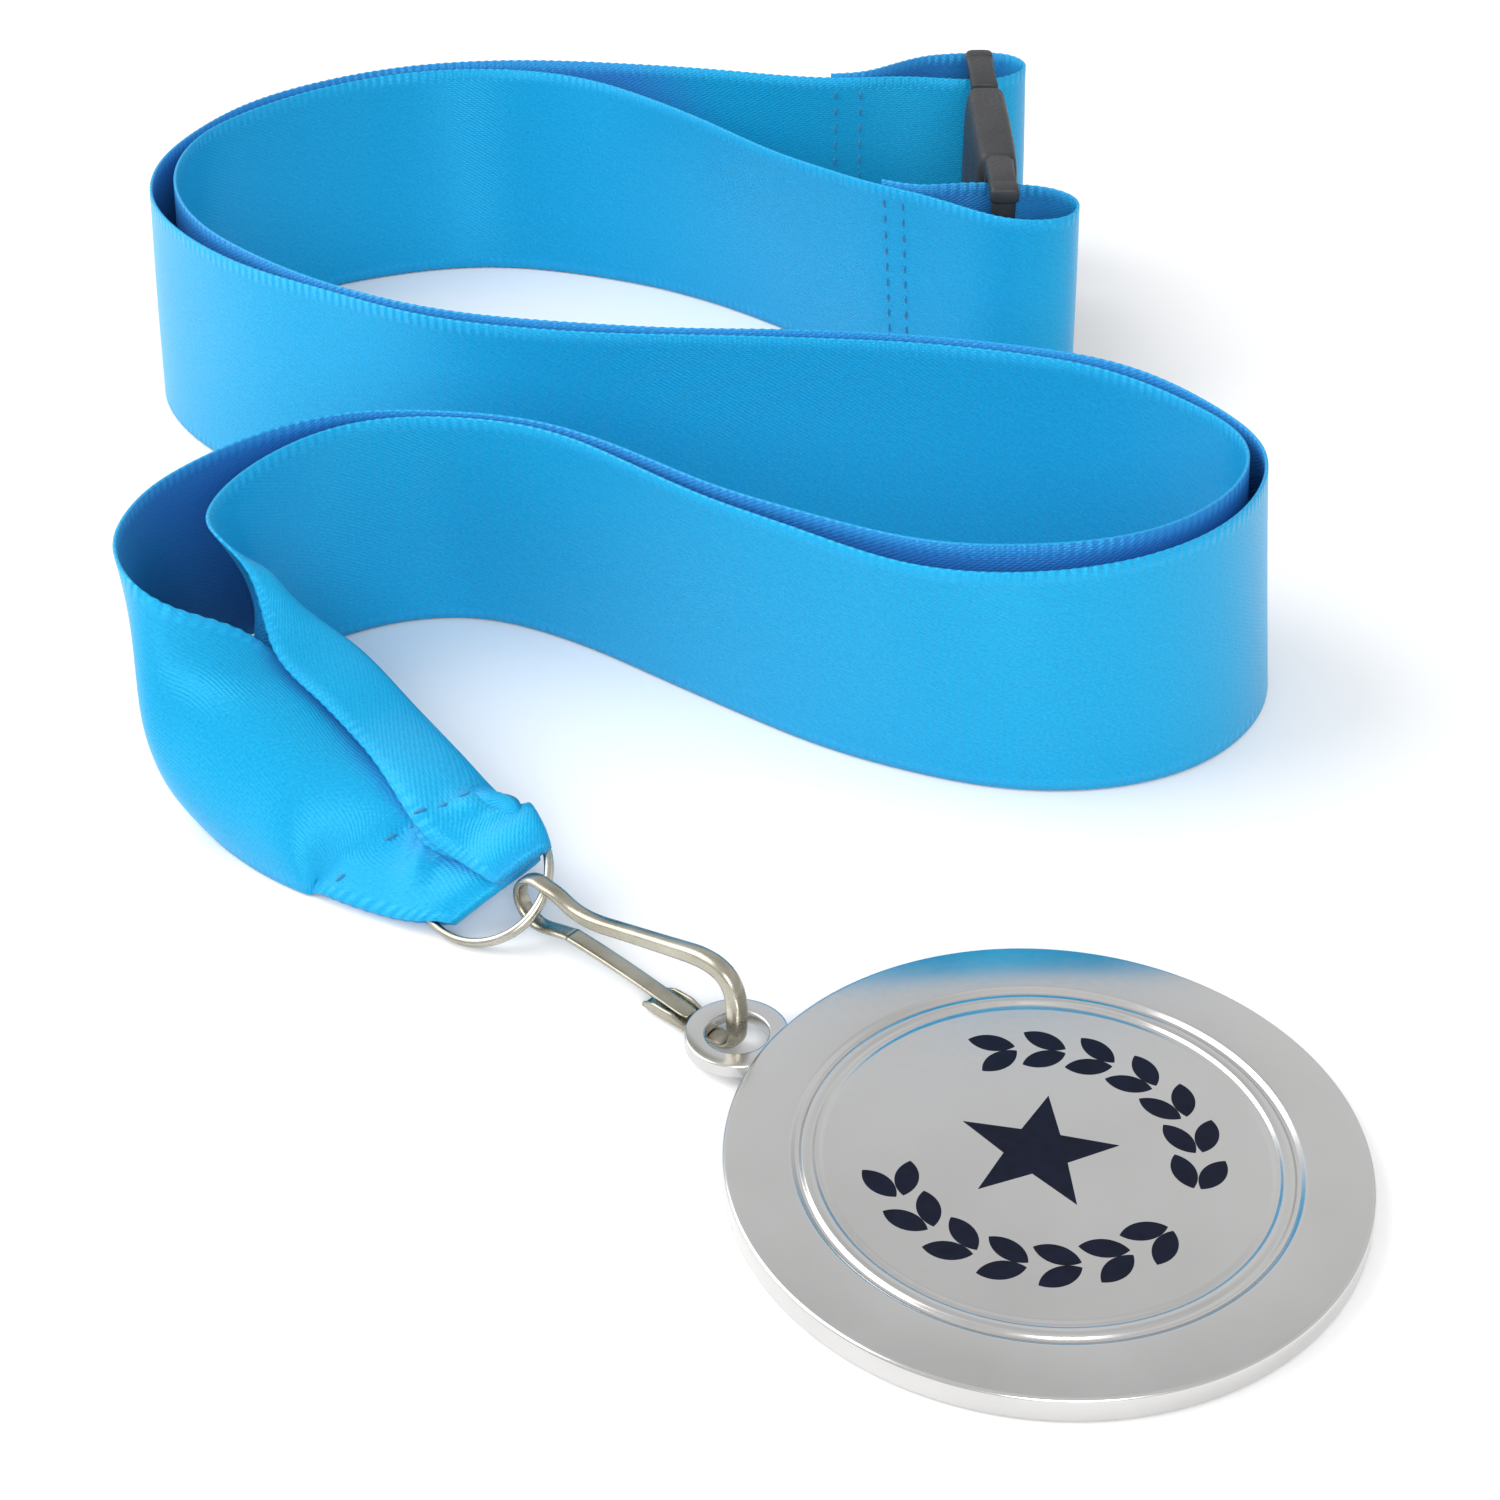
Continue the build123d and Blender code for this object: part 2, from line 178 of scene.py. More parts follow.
def add_studio():
    add_soft_light("key", (-0.50, 0.12, 0.42), 0.70, 3.3)
    add_soft_light("front", (0.05, -0.62, 0.40), 0.40, 3.1)
    add_surroundings()
    bpy.context.scene.view_settings.view_transform = "Standard"


def add_floor():
    half, z = 1.2, -0.00012             # just under the CAD's lowest points
    mesh = bpy.data.meshes.new("floor")
    mesh.from_pydata([(-half, -half, z), (half, -half, z), (half, half, z), (-half, half, z)], [],
                     [(0, 1, 2, 3)])
    floor = bpy.data.objects.new("floor", mesh)
    bpy.context.scene.collection.objects.link(floor)
    material = bpy.data.materials.new("floor")
    material.use_nodes = True
    shader = material.node_tree.nodes["Principled BSDF"]
    shader.inputs["Base Color"].default_value = (0.93, 0.93, 0.93, 1)
    shader.inputs["Roughness"].default_value = 0.7
    shader.inputs["Specular IOR Level"].default_value = 0.2
    mesh.materials.append(material)


# ---- materials -----------------------------------------------------------------------------
# the second blue is painted shade: a deeper blue where the ribbon's layers face each other closely
OPEN_BLUE, GAP_SHADE_BLUE, EDGE_HIGHLIGHT_BLUE = (0.008, 0.345, 0.66), (0.035, 0.22, 0.62), (0.03, 0.42, 0.80)
RIBS_TURN = 6.28                        # radians a millimetre: one rib of the selvedge each millimetre
RIBBON_W, RIBBON_T = 25.0, 0.32


def start_material(name):
    material = bpy.data.materials.new(name)
    material.use_nodes = True
    nodes, links = material.node_tree.nodes, material.node_tree.links
    return material, nodes, links, nodes["Principled BSDF"]


def add_noise(nodes, links, scale, detail, place=None):
    """Noise over the object's own coordinates in metres, or over another place."""
    if place is None:
        place = nodes.new("ShaderNodeTexCoord").outputs["Object"]
    noise = nodes.new("ShaderNodeTexNoise")
    noise.inputs["Scale"].default_value = scale
    noise.inputs["Detail"].default_value = detail
    links.new(place, noise.inputs["Vector"])
    return noise.outputs["Fac"]


def add_ramp(nodes, links, factor, stops):
    """A ramp through stops of (position, colour), where a colour of one number is a grey."""
    ramp = nodes.new("ShaderNodeValToRGB")
    elements = ramp.color_ramp.elements
    while len(elements) < len(stops):
        elements.new(0.5)
    for element, (position, colour) in zip(elements, stops):
        element.position = position
        element.color = (*colour, 1) if len(colour) == 3 else (*colour * 3, 1)
    links.new(factor, ramp.inputs["Fac"])
    return ramp.outputs["Color"]


def add_bump(nodes, links, height, strength, distance):
    bump = nodes.new("ShaderNodeBump")
    bump.inputs["Strength"].default_value = strength
    bump.inputs["Distance"].default_value = distance
    links.new(height, bump.inputs["Height"])
    return bump.outputs["Normal"]


def add_mix(nodes, links, factor, a, b, mode="MIX"):
    mix = nodes.new("ShaderNodeMix")
    mix.data_type, mix.blend_type = "RGBA", mode
    for value, number in ((factor, 0), (a, 6), (b, 7)):
        if isinstance(value, bpy.types.NodeSocket):
            links.new(value, mix.inputs[number])
        else:
            mix.inputs[number].default_value = value if number == 0 else (*value, 1)
    return mix.outputs[2]


def add_math(nodes, links, operation, a, b=None):
    node = nodes.new("ShaderNodeMath")
    node.operation = operation
    for value, number in ((a, 0), (b, 1)):
        if isinstance(value, bpy.types.NodeSocket):
            links.new(value, node.inputs[number])
        elif value is not None:
            node.inputs[number].default_value = value
    return node.outputs[0]


def add_weave(nodes, links, along, across):
    """Height of the cloth: floats that step along a steep diagonal, in the cloth's own millimetres."""
    diagonal = add_math(nodes, links, "ADD", add_math(nodes, links, "MULTIPLY", along, 9.0),
                        add_math(nodes, links, "MULTIPLY", across, 15.0))
    weave = add_math(nodes, links, "SINE", diagonal)
    floats = add_math(nodes, links, "SINE", add_math(nodes, links, "MULTIPLY", across, 26.0))
    return add_math(nodes, links, "ADD", weave, add_math(nodes, links, "MULTIPLY", floats, 0.6))


def add_selvedge(nodes, links, across):
    """1 in the last millimetre of each edge of the ribbon, and soon 0 further in."""
    middle = RIBBON_W / 2
    from_middle = add_math(nodes, links, "ABSOLUTE", add_math(nodes, links, "SUBTRACT", across, middle))
    edge = nodes.new("ShaderNodeMapRange")
    for name, value in (("From Min", 1.5), ("From Max", 0.9), ("To Min", 0.0), ("To Max", 1.0)):
        edge.inputs[name].default_value = value
    links.new(add_math(nodes, links, "SUBTRACT", middle, from_middle), edge.inputs["Value"])
    return edge.outputs[0]


def satin_material():
    """Woven satin: a fine diagonal weave, ribbed selvedges with a painted highlight, and painted shade, a
    deeper blue, where it faces itself.
    """
    material, nodes, links, shader = start_material("satin_ribbon")
    cloth = nodes.new("ShaderNodeUVMap")
    cloth.uv_map = "cloth"
    split = nodes.new("ShaderNodeSeparateXYZ")
    links.new(cloth.outputs[0], split.inputs[0])
    along, across = split.outputs["X"], split.outputs["Y"]
    edge = add_selvedge(nodes, links, across)
    grain = add_noise(nodes, links, 2.2, 2.0, cloth.outputs[0])

    ribs = add_math(nodes, links, "SINE", add_math(nodes, links, "MULTIPLY", along, RIBS_TURN))
    ribs = add_math(nodes, links, "MULTIPLY", add_math(nodes, links, "MULTIPLY", ribs, edge), 1.6)
    weave = add_math(nodes, links, "MULTIPLY", add_weave(nodes, links, along, across), 0.35)
    height = add_math(nodes, links, "ADD", add_math(nodes, links, "ADD", weave, ribs), grain)
    links.new(add_bump(nodes, links, height, 0.42, 0.00008), shader.inputs["Normal"])

    # painted shade: the colour goes towards a deeper blue where other cloth faces this face closely
    gap_shade = nodes.new("ShaderNodeAttribute")
    gap_shade.attribute_name = "painted_gap_shade"
    gap_shaded_blue = add_mix(nodes, links, gap_shade.outputs["Fac"], OPEN_BLUE, GAP_SHADE_BLUE)
    speckle = add_noise(nodes, links, 3.4, 4.0, cloth.outputs[0])
    tone = add_ramp(nodes, links, speckle, [(0.30, (0.78,)), (0.70, (1.0,))])
    colour = add_mix(nodes, links, 1.0, gap_shaded_blue, tone, "MULTIPLY")
    # painted highlight: both selvedges are mixed towards a lighter blue, as if they catch the light
    painted_edge_highlight = add_math(nodes, links, "MULTIPLY", edge, 0.22)
    links.new(add_mix(nodes, links, painted_edge_highlight, colour, EDGE_HIGHLIGHT_BLUE), shader.inputs["Base Color"])
    links.new(add_ramp(nodes, links, grain, [(0.3, (0.30,)), (0.7, (0.37,))]), shader.inputs["Roughness"])

    # the gloss is stretched across the ribbon, which gives satin its upright bands of light
    tangent = nodes.new("ShaderNodeTangent")
    tangent.direction_type, tangent.uv_map = "UV_MAP", "cloth"
    links.new(tangent.outputs[0], shader.inputs["Tangent"])
    shader.inputs["Anisotropic"].default_value = 0.85
    shader.inputs["Anisotropic Rotation"].default_value = 0.25
    shader.inputs["Specular IOR Level"].default_value = 1.0
    shader.inputs["Specular Tint"].default_value = (0.12, 0.70, 1.0, 1)
    shader.inputs["Sheen Weight"].default_value = 0.12
    shader.inputs["Sheen Roughness"].default_value = 0.45
    shader.inputs["Sheen Tint"].default_value = (0.10, 0.60, 1.0, 1)
    return material


def thread_material():
    material, nodes, links, shader = start_material("sewing_thread")
    noise = add_noise(nodes, links, 2600, 2.0)
    blues = [(0.3, (0.003, 0.17, 0.36)), (0.7, (0.006, 0.25, 0.50))]
    links.new(add_ramp(nodes, links, noise, blues), shader.inputs["Base Color"])
    wave = nodes.new("ShaderNodeTexWave")
    wave.inputs["Scale"].default_value = 1600
    wave.bands_direction = "DIAGONAL"
    links.new(nodes.new("ShaderNodeTexCoord").outputs["Object"], wave.inputs["Vector"])
    links.new(add_bump(nodes, links, wave.outputs["Fac"], 0.4, 0.00004), shader.inputs["Normal"])
    shader.inputs["Roughness"].default_value = 0.55
    shader.inputs["Sheen Weight"].default_value = 0.3
    return material


def metal_material(name, light, dark, rough, cloud, scratch, bump):
    """Plated metal: cloudy colour and polish, fine scratches and a little unevenness."""
    material, nodes, links, shader = start_material(name)
    shader.inputs["Metallic"].default_value = 1.0
    clouds = add_noise(nodes, links, cloud, 5.0)
    marks = add_noise(nodes, links, scratch, 2.0)
    colour = add_ramp(nodes, links, clouds, [(0.30, dark), (0.68, light)])
    links.new(colour, shader.inputs["Base Color"])
    both = add_math(nodes, links, "ADD", add_math(nodes, links, "MULTIPLY", clouds, 0.6),
                    add_math(nodes, links, "MULTIPLY", marks, 0.4))
    low, high = rough
    links.new(add_ramp(nodes, links, both, [(0.3, (low,)), (0.7, (high,))]), shader.inputs["Roughness"])
    links.new(add_bump(nodes, links, both, bump, 0.00004), shader.inputs["Normal"])
    return material


def ink_material():
    material, nodes, links, shader = start_material("emblem_ink")
    noise = add_noise(nodes, links, 900, 4.0)
    navies = [(0.3, (0.0015, 0.0025, 0.010)), (0.75, (0.004, 0.006, 0.020))]
    links.new(add_ramp(nodes, links, noise, navies), shader.inputs["Base Color"])
    links.new(add_ramp(nodes, links, noise, [(0.3, (0.38,)), (0.7, (0.52,))]), shader.inputs["Roughness"])
    links.new(add_bump(nodes, links, noise, 0.15, 0.00003), shader.inputs["Normal"])
    shader.inputs["Specular IOR Level"].default_value = 0.15
    return material


def buckle_material():
    material, nodes, links, shader = start_material("buckle_plastic")
    grain = add_noise(nodes, links, 2400, 3.0)
    clouds = add_noise(nodes, links, 120, 4.0)
    charcoals = [(0.3, (0.016, 0.017, 0.019)), (0.7, (0.030, 0.031, 0.034))]
    links.new(add_ramp(nodes, links, clouds, charcoals), shader.inputs["Base Color"])
    links.new(add_ramp(nodes, links, grain, [(0.3, (0.46,)), (0.7, (0.62,))]), shader.inputs["Roughness"])
    links.new(add_bump(nodes, links, grain, 0.35, 0.00005), shader.inputs["Normal"])
    return material


# ---- the ribbon ----------------------------------------------------------------------------
# A station is a section of the ribbon, seven points from its lower selvedge to its upper one.
ACROSS = 7


def upright(bottom_x, bottom_y, top_x, top_y, low=0.0, width=RIBBON_W):
    """A straight section that stands on its edge, and leans as its two ends say."""
    lean = math.hypot(top_x - bottom_x, top_y - bottom_y)
    high = low + math.sqrt(width ** 2 - lean ** 2)
    bottom, top = np.array([bottom_x, bottom_y, low]), np.array([top_x, top_y, high])
    return bottom + (top - bottom) * np.linspace(0, 1, ACROSS)[:, None]


def folded(bottom, crest, face, shape):
    """A section in its own plane: (along, lift) from the bottom towards the crest."""
    bottom, crest = np.array(bottom, float), np.array(crest, float)
    along = unit(crest - bottom)
    face = np.array(face, float)
    face = unit(face - along * (face @ along))
    return np.array([bottom + along * a + face * b for a, b in shape])


LOOP = dict(low=2.15, width=23.2)       # a loop is drawn in a little, to pass the buckle's slot
EASE = dict(low=0.8, width=24.4)        # on the way to that

FAR_LOOP = [                            # from the loop's sewn end, round the far bar, to the seam
    upright(-13.0, 163.2, -13.0, 164.4, **EASE), upright(-9.4, 163.4, -9.4, 164.6, **LOOP),
    upright(-5.6, 166.0, -5.6, 167.0, **LOOP), upright(-1.2, 169.2, -1.2, 169.8, **LOOP),
    upright(4.2, 170.3, 4.0, 170.8, **LOOP), upright(9.0, 169.6, 8.8, 170.4, **LOOP),
    upright(11.2, 166.2, 10.8, 167.6, **LOOP), upright(9.4, 162.0, 9.2, 164.0, **LOOP),
    upright(4.8, 160.0, 4.8, 162.4, **LOOP), upright(-0.2, 160.2, -0.2, 163.0, **LOOP),
    upright(-5.2, 161.0, -5.2, 163.3, **LOOP),
]
OUTER = [                               # from the far seam to the ring end
    upright(-9.0, 161.6, -9.0, 163.3, **EASE), upright(-14.0, 162.1, -14.0, 163.8),
    upright(-27.0, 164.0, -27.0, 166.4), upright(-40.0, 166.4, -40.5, 168.8),
    upright(-52.5, 167.1, -53.0, 169.6), upright(-64.5, 165.3, -64.8, 167.4),
    upright(-75.3, 160.9, -75.0, 162.2), upright(-83.5, 154.5, -82.8, 154.7),
    upright(-88.9, 146.5, -87.5, 146.0), upright(-91.2, 137.5, -89.7, 137.2),
    upright(-90.2, 128.0, -88.9, 127.8), upright(-85.5, 119.2, -84.0, 118.7),
    upright(-78.0, 111.2, -76.5, 110.9), upright(-68.6, 105.0, -67.5, 104.9),
    upright(-58.0, 100.4, -58.0, 99.4), upright(-45.0, 96.8, -45.5, 95.6),
    upright(-30.0, 95.0, -30.5, 94.0), upright(-14.0, 93.9, -14.5, 93.2),
    upright(1.5, 91.2, 0.6, 90.9), upright(12.8, 87.4, 11.8, 86.4),
    upright(21.0, 81.4, 19.3, 79.8), upright(25.2, 73.8, 23.2, 73.2),
    upright(24.6, 65.6, 22.8, 66.4), upright(19.3, 58.4, 18.0, 59.3),
    upright(11.0, 53.9, 10.0, 54.3), upright(1.5, 53.0, 0.5, 52.8),
    upright(-8.5, 55.8, -9.0, 54.3), upright(-18.0, 61.0, -19.0, 59.4),
    upright(-26.5, 67.2, -27.3, 64.6), upright(-34.5, 73.6, -35.0, 70.9),
    upright(-43.0, 79.2, -43.6, 76.2), upright(-51.5, 82.0, -52.7, 78.4),
    upright(-60.5, 82.4, -61.2, 78.1), upright(-69.0, 80.0, -69.0, 74.6),
    upright(-75.6, 75.0, -74.6, 69.2), upright(-78.9, 68.5, -77.9, 63.3),
    upright(-78.4, 61.5, -79.2, 56.8), upright(-76.7, 55.0, -78.3, 51.4),
    np.array([(-75.4, 51.2, 0), (-76.2, 50.8, 4.1), (-76.9, 50.2, 8.2), (-77.2, 49.6, 12.3),
              (-77.2, 49.0, 16.4), (-77.0, 48.5, 20.5), (-76.6, 48.1, 24.5)]),
    np.array([(-73.4, 46.8, 0), (-75.0, 45.8, 3.7), (-76.0, 45.2, 7.5), (-76.2, 45.0, 11.3),
              (-75.6, 45.3, 15.1), (-74.4, 45.9, 18.9), (-72.8, 46.5, 22.5)]),
    np.array([(-71.2, 43.2, 0), (-73.0, 42.6, 4.0), (-73.8, 42.9, 8.0), (-73.2, 43.9, 12.0),
              (-71.8, 45.4, 15.3), (-70.1, 47.1, 17.6), (-68.3, 48.8, 19.0)]),
    np.array([(-68.6, 40.2, 0), (-70.0, 40.3, 4.1), (-70.4, 41.3, 8.2), (-69.6, 43.2, 11.9),
              (-68.1, 45.7, 14.2), (-66.6, 48.3, 15.0), (-65.0, 50.8, 14.9)]),
    np.array([(-65.4, 37.4, 0), (-66.6, 38.2, 4.2), (-66.6, 39.9, 8.0), (-65.3, 42.3, 11.0),
              (-63.3, 45.2, 12.2), (-61.4, 47.8, 12.0), (-59.8, 49.8, 11.4)]),
    np.array([(-62.0, 35.2, 0), (-62.9, 36.4, 4.0), (-62.4, 38.5, 7.5), (-60.6, 41.0, 9.5),
              (-58.6, 43.6, 9.8), (-56.7, 46.0, 9.3), (-55.2, 47.5, 8.6)]),
    np.array([(-61.3, 35.0, 0.1), (-59.5, 36.4, 2.9), (-57.2, 37.5, 5.6), (-54.1, 39.4, 7.6),
              (-50.9, 42.0, 8.0), (-49.4, 43.1, 7.7), (-51.6, 40.6, 8.6)]),
]
# the doubled ribbon's middle: at the sewn row, on the way to the ring, and at the ring's wire
STITCHED = np.array([(-60.0, 34.4, 0.4), (-57.5, 35.4, 2.4), (-54.9, 36.5, 4.2), (-50.6, 37.8, 5.8),
                     (-44.7, 39.3, 7.3), (-47.7, 36.8, 8.0), (-51.9, 35.6, 7.4)])
NEARLY = folded((-53.1, 30.8, 0.6), (-41.9, 36.2, 8.0), (-0.25, -0.6, 0.75),
                [(0, 0), (4.2, 0.4), (8.3, 0.1), (12.2, 0), (14.6, 0.75), (11.3, 1.6), (7.3, 1.4)])
APEX = folded((-48.3, 29.4, 1.2), (-40.0, 32.4, 6.8), (-0.28, -0.58, 0.76),
              [(0, 0), (3.4, 0.1), (6.7, 0), (9.3, 0.1), (10.5, 0.6), (7.9, 1.3), (5.2, 1.2)])
INNER = [                               # from the ring end to the near seam
    np.array([(-60.1, 35.2, 0.1), (-58.2, 37.3, 2.6), (-55.7, 39.0, 4.6), (-52.4, 40.8, 6.6),
              (-48.3, 43.7, 8.6), (-51.0, 41.0, 9.7), (-54.8, 40.0, 9.4)]),
    np.array([(-60.6, 36.8, 0), (-58.2, 39.9, 2.9), (-56.0, 43.0, 5.6), (-53.6, 46.6, 8.0),
              (-52.2, 48.7, 9.6), (-54.9, 46.7, 10.7), (-58.0, 44.3, 10.7)]),
    np.array([(-65.0, 41.4, 0), (-62.3, 44.2, 3.9), (-59.7, 47.2, 7.4), (-57.0, 50.0, 10.6),
              (-55.7, 51.4, 12.3), (-58.3, 49.4, 13.2), (-61.4, 46.9, 13.0)]),
    np.array([(-68.6, 46.6, 0), (-66.4, 49.0, 4.4), (-64.2, 51.2, 8.7), (-61.9, 53.2, 12.6),
              (-60.5, 54.3, 15.2), (-62.6, 52.3, 16.1), (-65.2, 49.9, 16.1)]),
    np.array([(-69.8, 53.0, 0), (-69.2, 54.0, 4.6), (-68.4, 54.8, 9.2), (-67.5, 55.4, 13.8),
              (-66.5, 55.6, 18.0), (-65.9, 55.0, 20.9), (-67.3, 53.4, 21.7)]),
    np.array([(-69.5, 57.6, 0), (-69.0, 57.9, 4.1), (-68.6, 58.4, 8.2), (-68.3, 58.8, 12.3),
              (-68.3, 58.8, 16.4), (-68.9, 57.8, 20.3), (-69.8, 55.4, 24.0)]),
    np.array([(-69.8, 63.2, 0), (-69.4, 63.6, 4.2), (-69.2, 63.9, 8.4), (-69.3, 63.7, 12.5),
              (-69.8, 63.1, 16.6), (-70.7, 61.6, 20.7), (-71.5, 59.2, 24.5)]),
    upright(-69.2, 70.2, -70.4, 65.0),
    upright(-66.2, 75.4, -66.2, 71.4), upright(-59.9, 79.2, -60.3, 75.8),
    upright(-51.5, 80.6, -52.6, 77.2), upright(-43.2, 77.7, -43.7, 74.9),
    upright(-34.6, 71.9, -35.5, 69.2), upright(-26.5, 65.5, -27.2, 62.0),
    upright(-18.0, 59.2, -19.0, 56.2), upright(-8.8, 54.2, -9.6, 50.3),
    upright(1.5, 51.0, 0.8, 48.4), upright(11.5, 51.2, 10.3, 50.3),
    upright(20.8, 56.0, 19.4, 56.4), upright(26.6, 64.4, 24.2, 64.2),
    upright(27.6, 73.6, 24.9, 72.0), upright(23.8, 82.0, 21.3, 79.8),
    upright(14.6, 88.8, 13.2, 87.9), upright(2.5, 92.8, 1.5, 92.3),
    upright(-13.0, 95.4, -13.0, 94.8), upright(-29.0, 96.5, -29.0, 95.6),
    upright(-44.0, 98.3, -44.0, 97.2), upright(-57.0, 102.0, -57.0, 100.8),
    upright(-67.5, 107.2, -67.0, 106.4), upright(-76.5, 113.6, -75.2, 112.9),
    upright(-83.6, 121.4, -82.4, 121.2), upright(-87.8, 130.2, -86.6, 130.2),
    upright(-89.0, 138.8, -87.6, 138.8), upright(-86.6, 147.0, -85.8, 147.2),
    upright(-81.2, 153.6, -80.6, 154.4), upright(-73.3, 159.2, -73.3, 160.8),
    upright(-63.5, 163.0, -63.4, 165.6), upright(-52.5, 163.8, -52.2, 166.6),
]
NEAR_RUN = [
    upright(-41.6, 160.9, -42.2, 163.0), upright(-33.0, 157.2, -34.4, 156.6),
    upright(-25.0, 151.8, -26.8, 149.0), upright(-17.2, 145.0, -19.4, 141.2),
    upright(-10.6, 138.0, -12.6, 135.0),
]
NEAR_LOOP = [                           # from the near seam, round the near bar, to the loop's sewn end
    upright(-6.8, 133.8, -8.6, 131.5, **EASE), upright(-2.6, 129.8, -4.0, 128.2, **LOOP),
    upright(1.2, 125.8, 0.6, 124.6, **LOOP), upright(5.0, 123.3, 4.6, 122.0, **LOOP),
    upright(9.8, 123.2, 9.0, 121.4, **LOOP), upright(13.6, 126.2, 12.6, 123.6, **LOOP),
    upright(13.8, 129.8, 13.0, 127.4, **LOOP), upright(11.0, 131.4, 10.6, 129.8, **LOOP),
    upright(6.6, 131.7, 6.4, 130.8, **LOOP), upright(1.8, 131.5, 1.2, 131.1, **LOOP),
    upright(-2.2, 131.8, -3.4, 130.7, **LOOP), upright(-6.2, 134.7, -8.0, 132.7, **EASE),
]

# painted shade between layers: full within the first distance, none beyond the second
FULL_SHADE_WITHIN, NO_SHADE_BEYOND = 7.0, 13.0         # how near other cloth is, to count as facing it
LAYER_GAP = 0.42                        # from the middle of the doubled ribbon to each layer


def layer(middle, next_middle, side):
    """One layer of the doubled ribbon: side 1 is the layer that runs into the ring, -1 the one out."""
    towards = unit(next_middle - middle)
    across = unit(np.gradient(middle, axis=0))
    normal = unit(np.cross(towards, across))
    return middle + normal * LAYER_GAP * side


def ring_end():
    """The doubled ribbon from the outer tail, round the ring's wire, to the inner tail."""
    before = APEX + (NEARLY - APEX) * 0.16
    return [
        layer(STITCHED, NEARLY, 1), layer(NEARLY, APEX, 1), layer(before, APEX, 1),
        APEX + (APEX - before) * 0.2,
        layer(before, APEX, -1), layer(NEARLY, APEX, -1), layer(STITCHED, NEARLY, -1),
    ]


RING_END = ring_end()
STATIONS = FAR_LOOP + OUTER + RING_END + INNER + NEAR_RUN + NEAR_LOOP
# places in the list of stations
FAR_SEAM = len(FAR_LOOP)
SEWN_IN = FAR_SEAM + len(OUTER)
AT_WIRE = SEWN_IN + len(RING_END) // 2
SEWN_OUT = SEWN_IN + len(RING_END) - 1
SPLIT = SEWN_OUT + len(INNER)           # where the part that the buckle pulls begins
NEAR_SEAM = len(STATIONS) - len(NEAR_LOOP)
STEP = 0.5                              # from one row of points to the next
COLUMNS = 25                            # points across the ribbon
SHARES = np.linspace(0, 1, COLUMNS)     # how far across each is


def soft_waves(places):
    """Slight unevenness, so that the cloth is not as true as sheet metal."""
    u, v = places[:, None], SHARES[None, :]
    return (0.10 * np.sin(u / 7.3 + 1.3 * v) * np.sin(3.0 * v + u / 31)
            + 0.07 * np.sin(u / 3.1 - 2.2 * v + 0.7) * (v - 0.5))


def ribbon_grid():
    """Points of the whole ribbon's middle surface, row by row along it."""
    stations = np.array(STATIONS)
    gaps = np.linalg.norm(np.diff(stations, axis=0), axis=2).mean(axis=1)
    knots = np.concatenate([[0], np.cumsum(gaps)])
    rows = int(knots[-1] / STEP)
    places = np.linspace(0, knots[-1], rows)
    tracks = cubic(knots, stations, places)
    across = np.linspace(0, 1, ACROSS)
    grid = cubic(across, tracks.transpose(1, 0, 2), SHARES).transpose(1, 0, 2)
    return grid, places, knots


def grid_normals(grid):
    return unit(np.cross(np.gradient(grid, axis=0), np.gradient(grid, axis=1)))


def gathers(places, knots):
    """Small puckers that run out from the sewn row at the ring end."""
    u, v = places[:, None], SHARES[None, :]
    lift = 0
    for station in (SEWN_IN, SEWN_OUT):
        near = np.exp(-((u - knots[station]) / 3.0) ** 2)
        lift = lift + 0.16 * near * np.sin(2 * math.pi * v * 6.5 + 0.6 * np.sin(u / 1.7))
    return lift


FOLD_AT = 0.69                          # how far across the ribbon its ring end is folded
FOLD_EASE = 0.08
RING_NORMAL = unit((-0.28, -0.58, 0.76))
RING_R, RING_WIRE = 6.0, 0.55
CLEAR = RING_WIRE + RIBBON_T / 2 + 0.12     # the least that the wire is from the cloth's middle
RING_REACH = 17.0                       # how far along the ribbon from the wire it may meet the ring


def ring_centre():
    low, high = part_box("small_ring")
    return np.array((low + high) / 2) / MM


def lift_off_ring(row, incoming, centre):
    """Moves one row along the ring's axis: the incoming layer lies before the ring, the other behind."""
    rel = row - centre
    height = rel @ RING_NORMAL
    from_wire = np.linalg.norm(rel - height[:, None] * RING_NORMAL, axis=1) - RING_R
    bulge = CLEAR * np.exp(-(np.clip(np.abs(from_wire) - 0.4, 0, None) / 0.8) ** 2)
    if incoming:
        wanted = np.where(SHARES > FOLD_AT, np.maximum(height, bulge + LAYER_GAP), np.maximum(height, bulge))
    else:
        wanted = np.where(SHARES > FOLD_AT + FOLD_EASE, np.maximum(height, bulge + 2 * LAYER_GAP),
                          np.where(SHARES > FOLD_AT - FOLD_EASE, height, np.minimum(height, -bulge)))
    return row + RING_NORMAL * np.where(bulge > 0.02, wanted - height, 0)[:, None]


def drape_over_ring(grid, apex):
    """Keeps the cloth off the ring's wire: one layer passes before it and the other behind it."""
    centre = ring_centre()
    reach = int(RING_REACH / STEP)
    for row in range(apex - reach, apex + reach + 1):
        if abs(row - apex) > 1:
            grid[row] = lift_off_ring(grid[row], row < apex, centre)
    rel = grid - centre
    height = rel @ RING_NORMAL
    off = rel - unit(rel - height[..., None] * RING_NORMAL) * RING_R
    distance = np.linalg.norm(off, axis=-1)
    push = np.clip(CLEAR - distance, 0, None)
    return grid + off / np.maximum(distance, 0.05)[..., None] * push[..., None]


